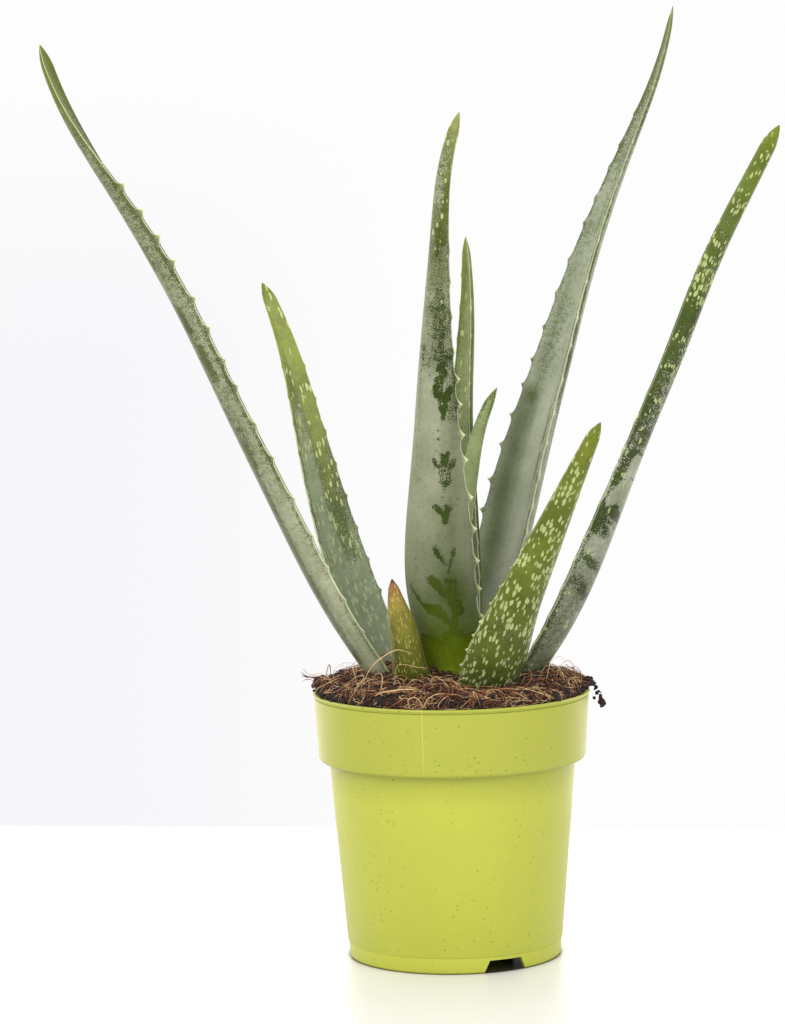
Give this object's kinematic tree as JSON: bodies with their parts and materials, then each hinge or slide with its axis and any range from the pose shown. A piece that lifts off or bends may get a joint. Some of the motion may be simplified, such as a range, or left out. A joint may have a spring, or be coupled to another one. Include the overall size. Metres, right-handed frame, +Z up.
{
  "type": "potted aloe plant",
  "caption": "Young aloe with long toothed, spotted leaves on a short stem, rooted in potting mix under loose coir in a tapered nursery pot with a tall collar.",
  "frame": {"origin": "on the pot's axis, at the level it stands on", "axes": "+Z up along the pot's axis, -Y to the front, the side that has one drain notch a little to the right, +X to the right seen from the front"},
  "size_m": [0.3087, 0.1573, 0.4102],
  "materials": {
    "pot_plastic": "satin moulded polypropylene, lime green",
    "mix": "moist peat and coir crumbs",
    "coir": "loose coir fibre and crumbs, matt",
    "fibre": "pale dry coir fibre",
    "stem": "pale fleshy stem",
    "root": "pale fleshy root",
    "leaf_bloomed": "grey-green waxy bloom, rubbed off in patches, cream teeth",
    "leaf_dashed": "green with pale dashes, satin",
    "leaf_spotted": "green with pale oblong spots, satin",
    "leaf_green": "plain green, satin",
    "leaf_drying": "yellowing, with a dry blackish tip"
  },
  "bodies": {
    "root": {"pot": "pot_plastic", "potting_mix": "mix", "coir_mat": "coir", "coir_clump_right": "coir", "coir_tuft_left": "fibre", "coir_strand_arched": "fibre", "coir_strand_rim": "fibre", "coir_strand_front": "fibre", "coir_loop_right": "fibre", "stem": "stem", "root_1": "root", "root_2": "root", "root_3": "root", "root_4": "root", "root_5": "root", "root_6": "root", "leaf_left_long": "leaf_bloomed", "leaf_left_short": "leaf_dashed", "leaf_dry_tip": "leaf_drying", "leaf_centre_front": "leaf_bloomed", "leaf_slender_back": "leaf_green", "leaf_young_back": "leaf_green", "leaf_tall_right": "leaf_bloomed", "leaf_spotted_front": "leaf_spotted", "leaf_right_long": "leaf_spotted"}
  },
  "joints": []
}
